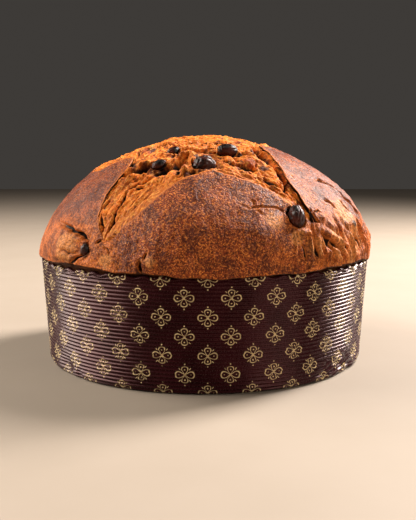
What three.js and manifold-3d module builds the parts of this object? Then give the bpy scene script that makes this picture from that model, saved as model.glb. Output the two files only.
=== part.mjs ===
// A low panettone, about 1 kg, standing in its fluted paper baking case.
//
// Three kinds of solid make it up: the paper case, a thin cup with horizontal flutes and a scalloped
// rim; the bread, which fills the case and domes over its rim; and the raisins that show, each in a
// socket in the crust. Units are millimetres, +Z is up, and the origin is the centre of the case's
// foot, on the surface it stands on. -Y is the front.

import * as THREE from "three";
import { mergeVertices } from "three/addons/utils/BufferGeometryUtils.js";
import Module from "manifold-3d";

const wasm = await Module();
wasm.setup();

// Paper case
const CASE_HEIGHT = 65;
const RIM_RADIUS = 105; // outside, at the top edge
const FOOT_RADIUS = 101.2; // outside, where the straight wall would meet the table
const PAPER = 1.6; // whole thickness: flat liner and flutes
const FLUTES = 30; // one every 2.2 mm of height
const FLUTE_DEPTH = 0.8;
const SCALLOPS = 60; // also the number of flat faces round the wall
const SCALLOP_DEPTH = 1.4;
const FOOT_ROUND_HEIGHT = 4; // the wall tucks in here to meet the base
const FOOT_ROUND_DEPTH = 1.8;

// Bread
const DOME_RADIUS = 106; // at its widest ring, just over the rim
const WIDEST_HEIGHT = 70;
const DOME_RISE = 72; // from the widest ring to the apex
const DOME_ARC = 141; // from the apex to the widest ring, over the crust
const LEFT_SHOULDER = 6; // how far the shoulders fall inside a true ellipse
const RIGHT_SHOULDER = 5; // higher up than on the left
const EDGE_ARC = 146; // the crust curls under and ends here
const FIT_GAP = 0.5; // between the bread and the paper
const DOME_RINGS = 22;
const BREAD_SEGMENTS = 76;
const HALVED_WITHIN = 0.34; // the segments are halved nearer the apex than this share of the crust
const RELIEF_END = 0.9; // share of the dome's arc where the relief starts to fade towards the rim

// The baker's cross opens the crust into four petals. A petal is drawn on the unrolled crust: x and y
// run from the apex, over the crust, in the directions of the plan. Each petal has a tip near the top,
// and neighbours share a slit end low on the dome. A bow is how far a torn edge bends away from the
// straight line between them, towards the torn crumb where positive.
const PETALS = [
  { tip: [3, -73], slitEnd: [68, -93], bowIn: -3, bowOut: -5 }, // front
  { tip: [30, -28], slitEnd: [84, 92], bowIn: 4, bowOut: -4 }, // right
  { tip: [-6, 58], slitEnd: [-76, 98], bowIn: -4, bowOut: -4 }, // back
  { tip: [-42, -36], slitEnd: [-67, -106], bowIn: -3, bowOut: -6 }, // left
];
const EDGE_STEPS = 6; // straight pieces in one torn edge
const SNAP = 3; // surface points this near a torn edge are drawn onto it
const LIP_HEIGHT = 1.4; // the crust stands proud along a torn edge
const LIP_WIDTH = 5;
const LIP_DROP = 2; // the lip ends within this of the edge, on the crumb's side
const CRUMB_VALLEY = 4; // torn crumb lies lower along the petals than in the middle of the cross
const VALLEY_START = 3;
const VALLEY_WIDTH = 12;

// Strands of torn crumb: low ridges, broken off along their length.
const RIDGE_HEIGHT = 1.1;
const RIDGE_SPACING = 14;
const RIDGE_LENGTH = 50;
const RIDGE_TURN = -31; // of their length in the plan, in degrees
const RIDGE_START = 5; // they reach full height this far from the torn edge

// Cracks in the crust, each a line on the unrolled crust with its depth and width at the middle.
const CRACKS = [
  { line: [[-95, -67], [-91, -77], [-85, -88], [-80, -98]], depth: 4, width: 3 }, // left
  { line: [[-46, -127], [-46, -134], [-47, -141]], depth: 3.5, width: 3.5 }, // foot of the front petal
  { line: [[21, -98], [32, -97], [42, -93]], depth: 2, width: 2 }, // across the front petal
  { line: [[75, -101], [87, -98], [100, -92]], depth: 4.5, width: 5 }, // right furrows
  { line: [[79, -93], [91, -90], [102, -88]], depth: 3.5, width: 4 },
  { line: [[74, -43], [90, -47], [106, -53], [122, -50]], depth: 3, width: 3 }, // far right
  { line: [[60, 116], [54, 127], [50, 138]], depth: 3, width: 3 }, // back
  { line: [[-95, 63], [-104, 54], [-113, 51]], depth: 3, width: 3 },
];
const CRACK_PROUD = 2; // how far a cutting wedge stands over the crust
const CRACK_BLUNTNESS = 0.6; // less than 1: a crack keeps its width nearly to its ends

// Swellings of the dough under the crust: place, radius and height.
const SWELLINGS = [
  { at: [-98, -86], radius: 13, height: 2.6 },
  { at: [-110, -64], radius: 20, height: 1.6 },
  { at: [92, -104], radius: 10, height: 1.8 },
  { at: [80, -60], radius: 10, height: 1.6 },
  { at: [-18, -112], radius: 22, height: 1.4 },
  { at: [30, 112], radius: 18, height: 1.6 },
  { at: [110, 66], radius: 15, height: 1.6 },
];

// Raisins: where each one shows, as on the unrolled crust, with its half sizes (length, width, depth),
// the turn of its length in the plan, in degrees, and how far its middle lies under the crust.
const RAISINS = {
  raisin_front: { at: [56, -94], half: [6.9, 4.7, 4.8], turn: -62, sunk: 1.0 },
  raisin_middle: { at: [0, -65], half: [6.0, 5.0, 6.2], turn: 10, sunk: -1.0 },
  raisin_top: { at: [13, -48], half: [6.0, 4.4, 4.4], turn: 4, sunk: 0.6 },
  raisin_scorched: { at: [-26, -61], half: [4.6, 3.2, 3.2], turn: 24, sunk: 1.0 },
  raisin_small: { at: [-18, -44], half: [4.4, 3.2, 3.0], turn: 30, sunk: 0.6 },
  raisin_left: { at: [-83.5, -103], half: [3.8, 3.2, 3.0], turn: 50, sunk: 0.8 },
  raisin_rear: { at: [16, 44], half: [6.4, 4.6, 4.6], turn: 35, sunk: 0.9 },
  raisin_rear_left: { at: [-58, 66], half: [6.0, 4.4, 4.2], turn: -40, sunk: 1.0 },
  raisin_rear_right: { at: [66, 96], half: [5.8, 4.2, 4.2], turn: 70, sunk: 1.1 },
};
const SOCKET_GAP = 0.45;
const RAISIN_SEGMENTS = 10;
const RAISIN_RINGS = 7;
const WRINKLES = 3; // pairs of folds round a raisin
const WRINKLE_DEPTH = 0.09; // as a share of its radius

const TURN = 2 * Math.PI;
const radians = (degrees) => (degrees * Math.PI) / 180;
const smooth = (x) => {
  const t = Math.min(1, Math.max(0, x));
  return t * t * (3 - 2 * t);
};

// Closed surfaces from rings

// A ring of points round +Z; place(angle, index) gives each point.
function ring(count, place) {
  return Array.from({ length: count }, (_, i) => place((i / count) * TURN, i));
}

// Triangles between a lower and an upper ring, seen from outside. The counts are equal, or one ring
// has twice the points of the other. Where they are equal a face is split along its shorter diagonal,
// so that its triangles follow a torn edge rather than cross it.
function band(lower, upper, triangles) {
  const n = Math.min(lower.length, upper.length);
  const stepLow = lower.length / n;
  const stepUp = upper.length / n;
  const apart = (a, b) => Math.hypot(a[0] - b[0], a[1] - b[1], a[2] - b[2]);
  for (let i = 0; i < n; i++) {
    const low = (k) => lower[(i * stepLow + k) % lower.length];
    const up = (k) => upper[(i * stepUp + k) % upper.length];
    if (stepLow === 2) {
      triangles.push([low(0), low(1), up(0)], [low(1), up(1), up(0)], [low(1), low(2), up(1)]);
    } else if (stepUp === 2) {
      triangles.push([low(0), up(1), up(0)], [low(0), low(1), up(1)], [low(1), up(2), up(1)]);
    } else if (apart(low(0), up(1)) < apart(low(1), up(0)) - 1e-3) {
      triangles.push([low(0), up(1), up(0)], [low(0), low(1), up(1)]);
    } else {
      triangles.push([low(0), low(1), up(0)], [low(1), up(1), up(0)]);
    }
  }
}

// A closed surface through rings, listed from the middle of the underside outwards, up the outside and
// back to the middle, with a single point at each end.
function surfaceThrough(start, rings, end) {
  const triangles = [];
  const first = rings[0];
  const last = rings[rings.length - 1];
  first.forEach((p, i) => triangles.push([start, first[(i + 1) % first.length], p]));
  for (let i = 1; i < rings.length; i++) band(rings[i - 1], rings[i], triangles);
  last.forEach((p, i) => triangles.push([end, p, last[(i + 1) % last.length]]));
  const geometry = new THREE.BufferGeometry();
  const values = new Float32Array(triangles.flat(2));
  geometry.setAttribute("position", new THREE.BufferAttribute(values, 3));
  geometry.computeVertexNormals();
  return geometry;
}

// Paper case

// Radius of the case's outside at a height, on the crests of its flutes.
function caseRadius(z) {
  const straight = FOOT_RADIUS + (RIM_RADIUS - FOOT_RADIUS) * (z / CASE_HEIGHT);
  const tuck = Math.max(0, 1 - z / FOOT_ROUND_HEIGHT);
  return straight - FOOT_ROUND_DEPTH * tuck * tuck;
}

function caseGeometry() {
  const flat = (radius, z) =>
    ring(SCALLOPS, (a) => [radius * Math.cos(a), radius * Math.sin(a), z]);
  const scalloped = (radius) =>
    ring(2 * SCALLOPS, (a, i) => [
      radius * Math.cos(a),
      radius * Math.sin(a),
      CASE_HEIGHT - (i % 2) * SCALLOP_DEPTH,
    ]);
  const rings = [];
  for (let i = 0; i < 2 * FLUTES - 1; i++) {
    const z = (i / (2 * FLUTES)) * CASE_HEIGHT;
    const groove = i % 2 ? FLUTE_DEPTH : 0;
    rings.push(flat(caseRadius(z) - groove, z));
  }
  const innerTop = RIM_RADIUS - PAPER;
  rings.push(scalloped(RIM_RADIUS), scalloped(innerTop));
  const innerFoot = caseRadius(FOOT_ROUND_HEIGHT) - PAPER;
  rings.push(flat(innerFoot, FOOT_ROUND_HEIGHT + PAPER));
  rings.push(flat(innerFoot - FOOT_ROUND_DEPTH, PAPER));
  return surfaceThrough([0, 0, 0], rings, [0, 0, PAPER]);
}

// Bread

// One torn edge as a bowed line from a to b, without its last point.
function tornEdge(a, b, bow) {
  const [dx, dy] = [b[0] - a[0], b[1] - a[1]];
  const length = Math.hypot(dx, dy);
  return Array.from({ length: EDGE_STEPS }, (_, i) => {
    const t = i / EDGE_STEPS;
    const out = 4 * t * (1 - t) * bow;
    return [a[0] + t * dx - (out * dy) / length, a[1] + t * dy + (out * dx) / length];
  });
}

// Outline of the opening in the crust, anticlockwise from the left slit's end.
const OPENING = PETALS.flatMap((petal, i) => {
  const before = PETALS[(i + PETALS.length - 1) % PETALS.length].slitEnd;
  return [
    ...tornEdge(before, petal.tip, petal.bowIn),
    ...tornEdge(petal.tip, petal.slitEnd, petal.bowOut),
  ];
});

// Where a point lies against the opening's outline: its distance, positive on the torn crumb and
// negative on the crust, and the nearest point of the outline.
function tornEdgeNear(x, y) {
  let nearest = { distance: Infinity };
  let inside = false;
  OPENING.forEach((a, i) => {
    const b = OPENING[(i + 1) % OPENING.length];
    const [ex, ey] = [b[0] - a[0], b[1] - a[1]];
    const t = Math.min(1, Math.max(0, ((x - a[0]) * ex + (y - a[1]) * ey) / (ex * ex + ey * ey)));
    const point = [a[0] + t * ex, a[1] + t * ey];
    const distance = Math.hypot(x - point[0], y - point[1]);
    if (distance < nearest.distance) nearest = { distance, point };
    if (a[1] > y !== b[1] > y && x < a[0] + ((y - a[1]) / ey) * ex) inside = !inside;
  });
  return { distance: inside ? nearest.distance : -nearest.distance, point: nearest.point };
}

// Height of the relief over the smooth dome at a point of the unrolled crust.
function relief(x, y) {
  const s = Math.hypot(x, y);
  const d = tornEdgeNear(x, y).distance;
  const fadeStart = RELIEF_END * DOME_ARC;
  const fade = 1 - smooth((s - fadeStart) / (EDGE_ARC - fadeStart));
  const lipShare = d > 0 ? 1 - smooth(d / LIP_DROP) : Math.exp(-((d / LIP_WIDTH) ** 2));
  const lip = LIP_HEIGHT * lipShare;
  const valleyShare = smooth(d / VALLEY_START) * (1 - smooth((d - VALLEY_START) / VALLEY_WIDTH));
  const valley = -CRUMB_VALLEY * valleyShare;
  const [rx, ry] = [Math.cos(radians(RIDGE_TURN)), Math.sin(radians(RIDGE_TURN))];
  const along = (TURN * (x * rx + y * ry)) / RIDGE_LENGTH;
  const across = (TURN * (y * rx - x * ry)) / RIDGE_SPACING;
  const strands = RIDGE_HEIGHT * smooth(d / RIDGE_START) * Math.sin(along) * Math.sin(across + along / 2);
  let swell = 0;
  for (const { at, radius, height } of SWELLINGS)
    swell += height * Math.exp(-((Math.hypot(x - at[0], y - at[1]) / radius) ** 2));
  return (lip + valley + strands + swell) * fade;
}

// A point of the smooth dome, raised along its outward direction.
function domePoint(x, y, raise = 0) {
  const s = Math.hypot(x, y);
  const theta = (s / DOME_ARC) * (Math.PI / 2);
  const [cx, cy] = s > 0 ? [x / s, y / s] : [1, 0];
  const shoulder = THREE.MathUtils.lerp(LEFT_SHOULDER, RIGHT_SHOULDER * Math.cos(theta), (1 + cx) / 2);
  const radius = DOME_RADIUS * Math.sin(theta) - shoulder * Math.sin(2 * theta);
  const z = WIDEST_HEIGHT + DOME_RISE * Math.cos(theta);
  const out = new THREE.Vector3(
    (cx * radius) / DOME_RADIUS,
    (cy * radius) / DOME_RADIUS,
    (z - WIDEST_HEIGHT) / DOME_RISE,
  ).normalize();
  return new THREE.Vector3(cx * radius, cy * radius, z).addScaledVector(out, raise);
}

// A point of the crust's surface, drawn onto a torn edge that passes close by, except where two edges
// meet in a slit.
function crustPoint(x, y) {
  const { distance, point } = tornEdgeNear(x, y);
  const inSlit = PETALS.some(({ slitEnd: [a, b] }) => Math.hypot(x - a, y - b) < 3 * SNAP);
  const [u, v] = Math.abs(distance) < SNAP && !inSlit ? point : [x, y];
  return domePoint(u, v, relief(u, v));
}

function breadGeometry() {
  const flat = (radius, z) =>
    ring(BREAD_SEGMENTS, (a) => [radius * Math.cos(a), radius * Math.sin(a), z]);
  const arc = (s, count) => ring(count, (a) => crustPoint(s * Math.cos(a), s * Math.sin(a)).toArray());
  const inCase = (z) => caseRadius(Math.max(z, FOOT_ROUND_HEIGHT)) - PAPER - FIT_GAP;
  const bottom = PAPER + FIT_GAP;
  const rings = [
    flat(inCase(0) - FOOT_ROUND_DEPTH, bottom),
    flat(inCase(0), FOOT_ROUND_HEIGHT + PAPER + FIT_GAP),
    flat(inCase(CASE_HEIGHT / 2), CASE_HEIGHT / 2),
    flat(inCase(CASE_HEIGHT), CASE_HEIGHT + FIT_GAP),
  ];
  for (let i = 0; i < DOME_RINGS; i++) {
    const share = 1 - i / DOME_RINGS;
    const count = share < HALVED_WITHIN ? BREAD_SEGMENTS / 2 : BREAD_SEGMENTS;
    rings.push(arc(EDGE_ARC * share, count));
  }
  return surfaceThrough([0, 0, bottom], rings, crustPoint(0, 0).toArray());
}

// Cracks

// A wedge that cuts a crack: a triangle's section, point down, carried along the line over the crust and
// narrowing to both ends.
function crackGeometry({ line, depth, width }) {
  const count = 2 * (line.length - 1);
  const curve = new THREE.CatmullRomCurve3(line.map(([x, y]) => new THREE.Vector3(x, y, 0)));
  const onCrust = ({ x, y }, raise) => domePoint(x, y, relief(x, y) + raise).toArray();
  const rings = [];
  for (let i = 1; i < count; i++) {
    const p = curve.getPoint(i / count);
    const along = curve.getTangent(i / count);
    const share = Math.sin((Math.PI * i) / count) ** CRACK_BLUNTNESS;
    const reach = (share * width * (1 + CRACK_PROUD / depth)) / 2;
    const aside = new THREE.Vector3(-along.y, along.x, 0).multiplyScalar(reach);
    rings.push([
      onCrust(p.clone().add(aside), CRACK_PROUD),
      onCrust(p.clone().sub(aside), CRACK_PROUD),
      onCrust(p, -depth * share),
    ]);
  }
  const [start, end] = [curve.getPoint(0), curve.getPoint(1)];
  return surfaceThrough(onCrust(start, CRACK_PROUD), rings, onCrust(end, CRACK_PROUD));
}

// Raisins

// A raisin, or with a gap round it the socket that holds it, placed on the crust.
function raisinGeometry({ at, half, turn, sunk }, gap = 0) {
  const [long, wide, deep] = half;
  const rings = [];
  for (let i = 1; i < RAISIN_RINGS; i++) {
    const slope = (i / RAISIN_RINGS) * Math.PI;
    rings.push(
      ring(RAISIN_SEGMENTS, (a) => {
        const x = Math.sin(slope) * Math.cos(a);
        const fold = 1 - WRINKLE_DEPTH * Math.abs(Math.sin(WRINKLES * a + 2 * slope));
        const p = new THREE.Vector3(x * long, Math.sin(slope) * Math.sin(a) * wide, 0);
        p.multiplyScalar(fold).setZ(-Math.cos(slope) * deep);
        return p.setLength(p.length() + gap).toArray();
      }),
    );
  }
  const geometry = surfaceThrough([0, 0, -deep - gap], rings, [0, 0, deep + gap]);
  const [x, y] = at;
  const middle = domePoint(x, y, relief(x, y) - sunk);
  const up = domePoint(x, y, 1).sub(domePoint(x, y)).normalize();
  const lengthwise = new THREE.Vector3(Math.cos(radians(turn)), Math.sin(radians(turn)), 0);
  lengthwise.addScaledVector(up, -lengthwise.dot(up)).normalize();
  const sideways = new THREE.Vector3().crossVectors(up, lengthwise);
  const frame = new THREE.Matrix4().makeBasis(lengthwise, sideways, up).setPosition(middle);
  return geometry.applyMatrix4(frame);
}

// Joining and cutting

function toManifold(geometry) {
  const bare = geometry.clone();
  bare.deleteAttribute("normal");
  const merged = mergeVertices(bare, 1e-3);
  const triVerts = new Uint32Array(merged.index.array);
  const vertProperties = merged.getAttribute("position").array;
  return new wasm.Manifold(new wasm.Mesh({ numProp: 3, vertProperties, triVerts }));
}

function toGeometry(manifold) {
  const { vertProperties, triVerts, numProp } = manifold.getMesh();
  const geometry = new THREE.BufferGeometry();
  const values = new Float32Array((vertProperties.length / numProp) * 3);
  for (let i = 0; i < values.length / 3; i++)
    values.set(vertProperties.subarray(i * numProp, i * numProp + 3), 3 * i);
  geometry.setAttribute("position", new THREE.BufferAttribute(values, 3));
  geometry.setIndex(new THREE.BufferAttribute(new Uint32Array(triVerts), 1));
  geometry.computeVertexNormals();
  return geometry;
}

// The bread with its cracks and a socket for every raisin cut from it.
function cutBread() {
  let bread = toManifold(breadGeometry());
  for (const crack of CRACKS) bread = bread.subtract(toManifold(crackGeometry(crack)));
  for (const raisin of Object.values(RAISINS))
    bread = bread.subtract(toManifold(raisinGeometry(raisin, SOCKET_GAP)));
  return toGeometry(bread);
}

// Materials and the finished group

const brownPaper = new THREE.MeshStandardMaterial({ color: 0x3a2322, roughness: 0.45, metalness: 0 });
const bakedCrust = new THREE.MeshStandardMaterial({ color: 0x8a4a26, roughness: 0.75, metalness: 0 });
const driedFruit = new THREE.MeshStandardMaterial({ color: 0x1e1110, roughness: 0.35, metalness: 0 });

function part(name, geometry, material) {
  const mesh = new THREE.Mesh(geometry, material);
  mesh.name = name;
  return mesh;
}

const panettone = new THREE.Group();
panettone.add(part("paper_case", caseGeometry(), brownPaper));
panettone.add(part("bread", cutBread(), bakedCrust));
for (const [name, raisin] of Object.entries(RAISINS))
  panettone.add(part(name, raisinGeometry(raisin), driedFruit));

export default panettone;
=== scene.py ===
# %% [markdown]
# # A panettone in its paper case
# A panettone is a sweet bread baked in a paper case. The dough is crossed with a blade before baking, so
# in the oven its skin opens into four petals, and the crumb tears and swells between them. This lesson
# makes the case, the crust, the torn crumb and the raisins. The solids are loaded first, and everything
# is worked out in their frame: the origin is the middle of the case's foot, +Z is up, -Y is the front.

# %% Load the solids
import math

import bpy
import numpy as np
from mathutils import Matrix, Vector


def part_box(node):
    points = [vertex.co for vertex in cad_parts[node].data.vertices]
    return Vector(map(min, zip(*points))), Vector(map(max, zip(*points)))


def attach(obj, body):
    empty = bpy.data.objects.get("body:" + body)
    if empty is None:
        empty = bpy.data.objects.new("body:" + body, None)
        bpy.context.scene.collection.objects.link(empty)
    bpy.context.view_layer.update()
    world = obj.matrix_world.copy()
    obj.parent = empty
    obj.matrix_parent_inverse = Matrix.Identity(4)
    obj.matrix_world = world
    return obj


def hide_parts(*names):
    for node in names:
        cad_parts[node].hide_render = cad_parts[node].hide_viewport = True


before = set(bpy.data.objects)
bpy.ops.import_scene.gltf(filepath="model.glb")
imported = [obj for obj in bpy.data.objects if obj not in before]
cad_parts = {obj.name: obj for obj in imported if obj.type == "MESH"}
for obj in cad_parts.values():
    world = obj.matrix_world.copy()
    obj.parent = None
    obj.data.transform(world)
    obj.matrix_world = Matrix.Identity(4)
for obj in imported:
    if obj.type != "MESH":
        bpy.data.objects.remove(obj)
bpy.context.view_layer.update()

print("nodes:", ", ".join(sorted(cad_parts)))

# %% [markdown]
# ## Sizes
# Shapes are worked out in millimetres, as a baker would measure them, and turned to metres when they
# become a mesh. The case's size is read from the solids, so that the dressed pieces fit them.

# %% Main sizes, in millimetres
MM = 0.001
SEED = 11

RIM_RADIUS, _, CASE_HEIGHT = np.array(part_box("paper_case")[1]) / MM
FOOT_RADIUS = RIM_RADIUS - 3.8
PAPER = 1.6

DOME_RADIUS = 106.0
WIDEST_HEIGHT = CASE_HEIGHT + 5.0
DOME_RISE = 72.0
DOME_ARC = 141.0  # over the crust, from the apex to where the dome is widest
LEFT_SHOULDER = 6.0  # how far the shoulders are pulled in
RIGHT_SHOULDER = 5.0
print(f"case {2 * RIM_RADIUS:.0f} wide, {CASE_HEIGHT:.0f} high; loaf {WIDEST_HEIGHT + DOME_RISE:.0f} high")

# %% [markdown]
# ## Noise and small tools
# Crust, crumb and dried fruit are all rough at several sizes at once. One gradient noise, added up at
# falling sizes, gives every one of them its unevenness. It is seeded, so the loaf is the same each run.

# %% Noise and smooth steps
draw = np.random.default_rng(SEED)
GRADIENTS = draw.normal(size=(4096, 3))
GRADIENTS /= np.linalg.norm(GRADIENTS, axis=1, keepdims=True)


def smooth(x):
    """Zero below 0, one above 1, and 3x^2 - 2x^3 between them."""
    t = np.clip(x, 0.0, 1.0)
    return t * t * (3.0 - 2.0 * t)


def bell(x):
    """One at 0, falling on both sides as the exponential of -x^2."""
    return np.exp(-(x**2))


def noise(points, size, seed=0):
    """Gradient noise: at each corner of a lattice of this size a random slope, blended smoothly."""
    scaled = points / size + 31.7 * seed
    cell = np.floor(scaled).astype(np.int64)
    inside = scaled - cell
    fade = inside**3 * (inside * (inside * 6.0 - 15.0) + 10.0)
    total = np.zeros(points.shape[:-1])
    for corner in np.ndindex(2, 2, 2):
        i, j, k = np.moveaxis(cell + corner, -1, 0)
        slope = GRADIENTS[(i * 73856093 ^ j * 19349663 ^ k * 83492791) & 4095]
        weight = np.prod(np.where(corner, fade, 1.0 - fade), axis=-1)
        total += weight * ((inside - corner) * slope).sum(axis=-1)
    return 1.7 * total


def layered(points, size, layers=3, seed=0):
    """Noise added up at this size, half of it, a quarter and so on, each half as strong."""
    return sum(noise(points, size / 2**i, seed + i) / 2**i for i in range(layers))


def soft_line(points, count, soften=3.0):
    """A line through given points, spaced evenly and rounded by a moving average; its ends stay."""
    points = np.array(points, float)
    length = np.r_[0.0, np.cumsum(np.hypot(*np.diff(points, axis=0).T))]
    along = np.linspace(0.0, length[-1], count)
    line = np.stack([np.interp(along, length, points[:, k]) for k in (0, 1)], axis=1)
    reach = max(1, round(soften * count / length[-1]))
    padded = np.concatenate([2 * line[0] - line[reach:0:-1], line, 2 * line[-1] - line[-2:-reach - 2:-1]])
    window = np.hanning(2 * reach + 3)[1:-1]
    return np.stack([np.convolve(padded[:, k], window / window.sum(), "valid") for k in (0, 1)], axis=1)


print(f"noise from {len(GRADIENTS)} random slopes, seed {SEED}")

# %% [markdown]
# ## Meshes from rings
# Rings of points become faces by joining each point to its neighbours. The first and last rings are
# closed with a single point, so every piece is a closed surface.


# %% From arrays to a mesh object
def ring(radius, angle, z):
    """Points of a ring from its radius, the angles of its points and its height."""
    return np.stack(np.broadcast_arrays(radius * np.cos(angle), radius * np.sin(angle), z), axis=-1)


def ring_faces(rows, columns):
    """Quads between neighbouring rings, and at both ends triangles to a single point. Both end points
    come after the rings, and rings that run up face outwards."""
    i, j = np.meshgrid(np.arange(rows - 1), np.arange(columns), indexing="ij")
    k = (j + 1) % columns
    corners = [i * columns + j, i * columns + k, (i + 1) * columns + k, (i + 1) * columns + j]
    first, after = j[0], k[0]
    last = (rows - 1) * columns
    pole = np.full(columns, rows * columns)
    ends = [[pole, after, first], [last + first, last + after, pole + 1]]
    return np.stack(corners, axis=-1).reshape(-1, 4), np.moveaxis(ends, 1, 2).reshape(-1, 3)


def new_object(name, data):
    """An object of the scene from its data."""
    thing = bpy.data.objects.new(name, data)
    bpy.context.scene.collection.objects.link(thing)
    return thing


def make_piece(name, points, quads, triangles, node, slot, attributes):
    """A mesh object in metres from points in millimetres, riding on the body and standing for a node."""
    mesh = bpy.data.meshes.new(name)
    faces = np.concatenate([quads.ravel(), triangles.ravel()])
    totals = np.repeat([4, 3], [len(quads), len(triangles)])
    mesh.vertices.add(len(points))
    mesh.vertices.foreach_set("co", (points * MM).astype(np.float32).ravel())
    mesh.loops.add(len(faces))
    mesh.loops.foreach_set("vertex_index", faces.astype(np.int32))
    mesh.polygons.add(len(totals))
    mesh.polygons.foreach_set("loop_start", np.r_[0, np.cumsum(totals)[:-1]].astype(np.int32))
    mesh.polygons.foreach_set("use_smooth", np.ones(len(totals), bool))
    for label, values in attributes.items():
        layer = mesh.attributes.new(label, "FLOAT", "POINT")
        layer.data.foreach_set("value", values.astype(np.float32).ravel())
    mesh.update(calc_edges=True)
    mesh.validate()
    piece = new_object(name, mesh)
    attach(piece, "root")
    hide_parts(node)
    print(f"{name}: {len(quads) * 2 + len(triangles)} triangles")
    return piece


# %% [markdown]
# ## Materials
# Each material is built from nodes by one small function. Colours are written as the sRGB values an eye
# or a paint chart would give, and turned to linear light. They are laid in coats, as an oven lays them:
# each coat covers what is under it more and more from one limit of a pattern to the other.


# %% Colours, nodes and coats
SOFTLY = {"interpolation_type": "SMOOTHSTEP"}  # limits are met without a kink


def colour(text):
    """Linear red, green, blue and alpha from an sRGB hex value."""
    parts = [int(text[i:i + 2], 16) / 255 for i in (1, 3, 5)]
    return [c / 12.92 if c <= 0.04045 else ((c + 0.055) / 1.055) ** 2.4 for c in parts] + [1.0]


def new_material(name):
    """A node material, the tree that nodes are added to from now on, and its shader."""
    material = bpy.data.materials.new(name)
    material.use_nodes = True
    return material, material.node_tree, material.node_tree.nodes["Principled BSDF"]


def add(kind, inputs, output=0, **settings):
    """Add one node with its settings and its inputs, which are values or other nodes' outputs, in order
    or by socket, and return one of its outputs."""
    node = tree.nodes.new("ShaderNode" + kind)
    for name, value in settings.items():
        setattr(node, name, value)
    for socket, value in inputs.items() if isinstance(inputs, dict) else enumerate(inputs):
        if isinstance(value, bpy.types.NodeSocket):
            tree.links.new(value, node.inputs[socket])
        else:
            node.inputs[socket].default_value = value
    return node.outputs[output]


def patterns(noises, labels=()):
    """What a material varies by: noises, each from its size in millimetres, its detail and its roughness,
    and values stored on the mesh."""
    where = add("TexCoord", {}, 3)
    found = {label: add("Attribute", {}, 2, attribute_name=label) for label in labels}
    for name, (size, detail, roughness) in noises.items():
        found[name] = add("TexNoise", {
            "Vector": where, "Scale": 1 / (size * MM), "Detail": detail, "Roughness": roughness,
        })
    return found


def coated(base, pattern, low, high, most, tint, share=1.0):
    """A colour under a coat that covers nothing at the low limit of a pattern and most at the high one,
    times a share."""
    cover = add("MapRange", (pattern, low, high, 0.0, most), **SOFTLY)
    cover = add("Math", (cover, share), operation="MULTIPLY")
    return add("Mix", {0: cover, 6: base, 7: colour(tint)}, 2, data_type="RGBA")


def dress(pieces, material, base, roughness, specular, relief, strength, depth):
    """Join colour, roughness and fine relief, its depth in millimetres, to the shader of a material, and
    give the material to its pieces."""
    bump = add("Bump", {"Height": relief, "Strength": strength, "Distance": depth * MM})
    for socket, value in {"Base Color": base, "Roughness": roughness, "Normal": bump}.items():
        tree.links.new(value, shader.inputs[socket])
    shader.inputs["Specular IOR Level"].default_value = specular
    for piece in pieces:
        piece.data.materials.append(material)
    print(f"{material.name}: {len(tree.nodes)} nodes on {len(pieces)} piece(s)")


print("half grey on a screen is", round(colour("#808080")[0], 2), "in linear light")

# %% [markdown]
# ## The paper case
# The case is a strip of brown paper, fluted like the middle of corrugated board, wound round a flat liner
# and glued. Its flutes run level and its top edge is cut in scallops. It could be a plain cylinder with
# stripes, but the flutes catch the light one by one and break up the print, so they are real folds: a
# wave of radius up the wall.

# %% The fluted wall
FLUTES = 30
FLUTE_DEPTH = 0.85
FLUTE_ROWS = 7
CASE_COLUMNS = 400
SCALLOPS = 60
SCALLOP_DEPTH = 1.5
FOOT_ROUND_HEIGHT = 4.0
FOOT_ROUND_DEPTH = 1.8
FOLD_SPACING = 3.6
# Dents near the foot: bearing in degrees, height over the table, half width, half height and depth.
DENTS = [(-143, 6, 7, 5, 1.8), (-136, 3, 3, 3, 1.4), (-34, 5, 9, 6, 1.3), (-29, 2, 4, 3, 1.2)]


def case_radius(z):
    """Outer radius at a height: a straight taper that tucks in towards the foot."""
    straight = FOOT_RADIUS + (RIM_RADIUS - FOOT_RADIUS) * z / CASE_HEIGHT
    return straight - FOOT_ROUND_DEPTH * np.clip(1 - z / FOOT_ROUND_HEIGHT, 0, 1) ** 2


def around(columns):
    """Angles of the columns of a ring."""
    return np.arange(columns) / columns * math.tau


def turned(angle, bearing):
    """The angle from a bearing in degrees, at most half a turn either way."""
    return np.angle(np.exp(1j * (angle - math.radians(bearing))))


case_angle = around(CASE_COLUMNS)
share = np.linspace(0, 1, FLUTES * FLUTE_ROWS + 1)[:, None]
scallop = SCALLOP_DEPTH * (0.5 - 0.5 * np.cos(SCALLOPS * case_angle)) ** 0.8
wall_z = share * (CASE_HEIGHT - scallop * smooth((share - 0.93) / 0.07))
around_wall = ring(RIM_RADIUS, case_angle, 0.4 * wall_z)
wander = 0.25 * noise(around_wall, 60, 1) * smooth(share * 4) * smooth((1 - share) * 4)
flute = 0.5 - 0.5 * np.cos(math.tau * (share * FLUTES + wander))
crushed = 1 - 0.45 * smooth(noise(around_wall, 34, 2) * 2.2 - 0.5)
# At the foot on the right the paper is crumpled into a few slanting folds.
from_crumple = turned(case_angle, -40) * RIM_RADIUS
crumpled = bell(from_crumple / 24) * bell((wall_z - 6) / 6)
slanting = np.sin((wall_z - 0.3 * from_crumple + 2 * noise(around_wall, 9, 4)) * math.tau / FOLD_SPACING)
wall_r = case_radius(wall_z) - FLUTE_DEPTH * (1 - flute) * crushed * (1 - 0.8 * crumpled)
wall_r += 0.35 * noise(around_wall, 45, 3) * smooth(share * 5) + 0.7 * crumpled * (slanting - 1)
for bearing, middle, width, tall, depth in DENTS:
    sideways = bell(turned(case_angle, bearing) * RIM_RADIUS / width)
    wall_r -= depth * sideways * bell((wall_z - middle) / tall)
print(f"flute pitch {CASE_HEIGHT / FLUTES:.2f} mm, wall rows {len(share)}")

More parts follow.
